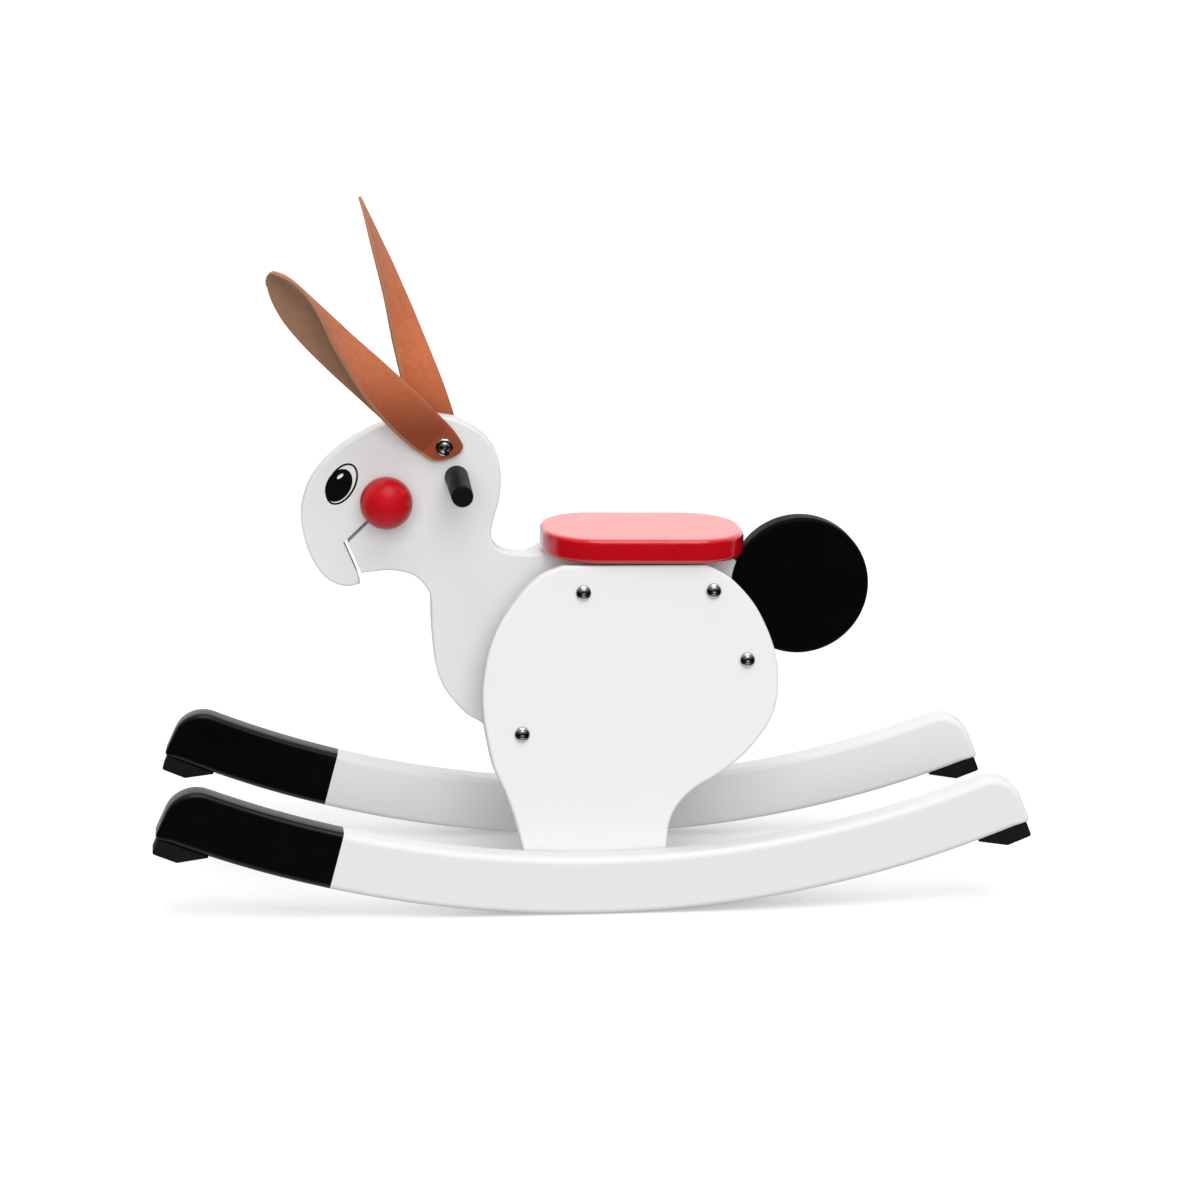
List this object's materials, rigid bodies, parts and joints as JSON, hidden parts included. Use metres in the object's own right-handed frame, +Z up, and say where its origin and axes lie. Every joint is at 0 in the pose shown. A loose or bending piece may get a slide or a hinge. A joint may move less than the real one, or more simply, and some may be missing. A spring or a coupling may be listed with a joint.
{
  "type": "rocking horse",
  "caption": "Child's rocking rabbit: lacquered centre board with a round tail, leaning haunch panels, curved rockers, seat, handle rod, cheek balls and swivelling leather ears.",
  "frame": {"origin": "on the floor, under the middle of the rockers and on the middle plane", "axes": "+X from the nose towards the tail, +Y towards the rabbit's right, +Z up"},
  "size_m": [0.8666, 0.2998, 0.6754],
  "materials": {
    "white_lacquer": "satin white lacquer",
    "black_lacquer": "gloss black lacquer",
    "red_lacquer": "gloss red lacquer",
    "tan_leather": "smooth tan vegetable-tanned leather, fuzzy flesh side",
    "rubber": "matt black rubber",
    "dark_chrome": "dark polished steel",
    "zinc_steel": "zinc plated",
    "beech": "bare beech",
    "brass": "turned brass"
  },
  "bodies": {
    "frame": {"centre_board": "white_lacquer", "tail_disc": "black_lacquer", "tail_dowel_upper": "beech", "tail_dowel_lower": "beech", "seat_board": "red_lacquer", "seat_dowel_front": "beech", "seat_dowel_rear": "beech", "cheek_dowel": "beech", "handle_rod": "black_lacquer", "left_haunch_panel": "white_lacquer", "left_rocker": "white_lacquer", "left_front_stop": "rubber", "left_front_stop_screw": "zinc_steel", "left_front_foot_screw": "zinc_steel", "left_rear_stop": "rubber", "left_rear_stop_screw": "zinc_steel", "left_rear_foot_screw": "zinc_steel", "left_cheek_ball": "red_lacquer", "left_ear_washer": "dark_chrome", "left_ear_screw": "dark_chrome", "left_front_upper_bolt": "dark_chrome", "left_front_upper_spacer": "beech", "left_front_upper_insert": "brass", "left_rear_upper_bolt": "dark_chrome", "left_rear_upper_spacer": "beech", "left_rear_upper_insert": "brass", "left_rear_lower_bolt": "dark_chrome", "left_rear_lower_spacer": "beech", "left_rear_lower_insert": "brass", "left_front_lower_bolt": "dark_chrome", "left_front_lower_spacer": "beech", "left_front_lower_insert": "brass", "right_haunch_panel": "white_lacquer", "right_rocker": "white_lacquer", "right_front_stop": "rubber", "right_front_stop_screw": "zinc_steel", "right_front_foot_screw": "zinc_steel", "right_rear_stop": "rubber", "right_rear_stop_screw": "zinc_steel", "right_rear_foot_screw": "zinc_steel", "right_cheek_ball": "red_lacquer", "right_ear_washer": "dark_chrome", "right_ear_screw": "dark_chrome", "right_front_upper_bolt": "dark_chrome", "right_front_upper_spacer": "beech", "right_front_upper_insert": "brass", "right_rear_upper_bolt": "dark_chrome", "right_rear_upper_spacer": "beech", "right_rear_upper_insert": "brass", "right_rear_lower_bolt": "dark_chrome", "right_rear_lower_spacer": "beech", "right_rear_lower_insert": "brass", "right_front_lower_bolt": "dark_chrome", "right_front_lower_spacer": "beech", "right_front_lower_insert": "brass"},
    "left_ear": {"left_ear": "tan_leather"},
    "right_ear": {"right_ear": "tan_leather"}
  },
  "joints": [
    {"name": "left_ear_swivel", "type": "hinge", "parent": "frame", "child": "left_ear", "pos_m": [-0.1508, -0.0158, 0.4437], "axis": [0, -1, 0], "range_deg": [-60, 38]},
    {"name": "right_ear_swivel", "type": "hinge", "parent": "frame", "child": "right_ear", "pos_m": [-0.1508, 0.0158, 0.4437], "axis": [0, -1, 0], "range_deg": [-38, 60]}
  ]
}
